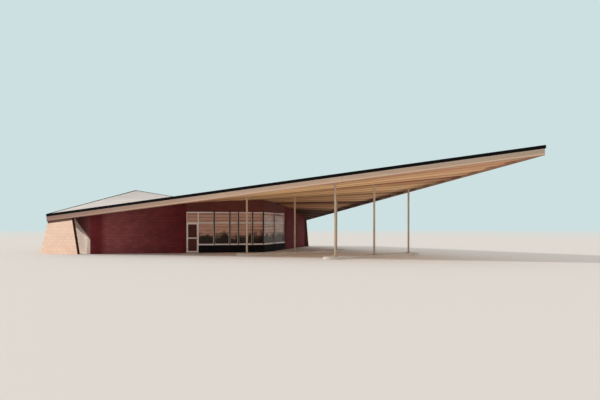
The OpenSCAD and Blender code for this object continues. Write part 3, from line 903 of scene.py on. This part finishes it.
def ring(mesh, pane, width, near, far, place):  # four strips round the inside of a pane
    left, bottom, right, top = pane
    addBox(mesh, (left, near, bottom), (right, far, bottom + width), place)
    addBox(mesh, (left, near, top - width), (right, far, top), place)
    addBox(mesh, (left, near, bottom + width), (left + width, far, top - width), place)
    addBox(mesh, (right - width, near, bottom + width), (right, far, top - width), place)


def panesOf(side):  # left, bottom, right and top of each pane, in two rows
    half, bar = windows["upright"] / 2, windows["bar"]
    starts = [half] + [u + half for u in windows[side]]
    ends = [u - half for u in windows[side]] + [windows[f"{side}End"]]
    rows = [(windows["sill"] + bar, windows["transom"]),
            (windows["transom"] + bar, windows["head"] - bar)]
    panes = [(a, low, b, high) for a, b in zip(starts, ends) for low, high in rows]
    if side == "left":  # and the one over the door
        panes.append((windows["door"][0], rows[1][0], windows["door"][1], rows[1][1]))
    return panes


def coversOf(side, sign, place):  # dark covers on the uprights, mitred at the nose
    covers = bmesh.new()
    low, high = windows["sill"] + windows["coverInset"], windows["head"] - windows["coverInset"]
    back, front = windows["frameFront"] - windows["coverLap"], windows["coverFront"]
    strips = [(upright, windows["coverWidth"] / 2) for upright in windows[side]]
    if side == "right":
        half = windows["bar"] / 2
        strips.append((windows["rightEnd"] + half, half - windows["coverInset"]))
    for middle, half in strips:
        addBox(covers, (middle - half, back, low), (middle + half, front, high), place)
    corner = addBox(covers, (-windows["noseLap"], back, low), (windows["noseWidth"], front, high),
                    place)
    around = {e for v in corner for e in v.link_edges} | {f for v in corner for f in v.link_faces}
    cutOff(covers, list(corner) + list(around), (0, 0, 0), (sign, 0, 0))
    return covers


for side, sign in (("left", 1.0), ("right", -1.0)):
    place = windowPlace(sign)
    beads, rubbers, covers = bmesh.new(), bmesh.new(), coversOf(side, sign, place)
    for pane in panesOf(side):
        for face, way in ((windows["glass"][1], 1), (windows["glass"][0], -1)):
            start = face - way * windows["glassLap"]
            near, far = sorted((start, face + way * windows["rubberProud"]))
            ring(rubbers, pane, windows["rubberWidth"], near, far, place)
            near, far = sorted((start, face + way * windows["beadProud"]))
            ring(beads, pane, windows["beadWidth"], near, far, place)
    for mesh in (beads, rubbers, covers):
        bmesh.ops.recalc_face_normals(mesh, faces=mesh.faces)
    soften(beads, windows["beadBevel"], 1)
    soften(covers, windows["coverBevel"])
    makePiece(f"glazing_beads_{side}", beads, whitePaint, "white_frame")
    makePiece(f"glazing_rubbers_{side}", rubbers, rubber, "black_panel")
    makePiece(f"mullion_covers_{side}", covers, darkPaint, "dark_panel")


def dress(finish, *nodes):  # a new material on a CAD node that stays
    for node in nodes:
        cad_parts[node].data.materials.clear()
        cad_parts[node].data.materials.append(finish.material)


dress(roomFloor, "floor_slab")
dress(windowGlass, "window_glass_left", "window_glass_right")
dress(doorGlass, "door_glass")
dress(steel, "door_pulls", "door_hinges", "hinge_plates")
print("frames and glass made")


# Posts and islands

posts = {
    "radius": 0.064, "weld": 0.009, "weldLap": 0.001,
    "plate": 0.020, "plateFrom": 0.0704, "plateBevel": 0.003,
    "boltFrom": 0.095, "nut": 0.0185, "nutHigh": 0.016, "washer": 0.022, "washerHigh": 0.003,
    "stud": 0.010, "studHigh": 0.030,
}


def addStack(mesh, radius, depth, foot, way, segments, topRadius=None):  # a round from foot on
    x, y, level = foot
    addRound(mesh, radius, depth, (x, y, level + way * depth / 2), segments, topRadius)


for row in ("rear", "front"):
    for place in ("left", "centre", "right"):
        node = f"post_{row}_{place}"
        low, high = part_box(node)
        x, y = (low.x + high.x) / 2, (low.y + high.y) / 2
        mesh = copyOf(node)
        plateEdges = [e for e in sharpEdges(mesh)
                      if max(math.hypot(v.co.x - x, v.co.y - y) for v in e.verts)
                      > posts["plateFrom"]]
        soften(mesh, posts["plateBevel"], 2, plateEdges)
        wideEnd, narrowEnd = posts["radius"] + posts["weld"], posts["radius"] - posts["weldLap"]
        for level, way in ((low.z + posts["plate"], 1), (high.z - posts["plate"], -1)):
            ends = (wideEnd, narrowEnd) if way > 0 else (narrowEnd, wideEnd)
            addStack(mesh, ends[0], posts["weld"], (x, y, level), way, 32, ends[1])
            for dx in (-posts["boltFrom"], posts["boltFrom"]):
                for dy in (-posts["boltFrom"], posts["boltFrom"]):
                    onPlate = (x + dx, y + dy, level)
                    onWasher = (x + dx, y + dy, level + way * posts["washerHigh"])
                    addStack(mesh, posts["washer"], posts["washerHigh"], onPlate, way, 16)
                    addStack(mesh, posts["nut"], posts["nutHigh"], onWasher, way, 6)
                    addStack(mesh, posts["stud"], posts["studHigh"], onPlate, way, 12)
        smoothRound(mesh, 32.0)
        makePiece(f"pipe_post_{row}_{place}", mesh, postPaint, "post_paint", replaced=[node])

islands = {"height": 0.15, "kerb": 0.15, "groove": 0.012, "round": 0.028}

for row in ("rear", "front"):
    mesh = copyOf(f"island_{row}")
    top = max(mesh.faces, key=lambda f: f.calc_center_median().z)
    bmesh.ops.inset_region(mesh, faces=[top], thickness=islands["kerb"], use_even_offset=True)
    bmesh.ops.inset_region(mesh, faces=[top], thickness=islands["groove"], depth=-islands["groove"],
                           use_even_offset=True)
    kerbEdges = [e for e in sharpEdges(mesh, 60.0)
                 if all(abs(v.co.z - islands["height"]) < 1e-4 for v in e.verts)
                 and any(f.normal.z < 0.1 and f.calc_center_median().z < 0.1 for f in e.link_faces)]
    soften(mesh, islands["round"], 4, kerbEdges)
    smoothRound(mesh, 40.0)
    makePiece(f"kerbed_island_{row}", mesh, concrete, "concrete", replaced=[f"island_{row}"])
print("posts and islands made")

low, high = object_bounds()
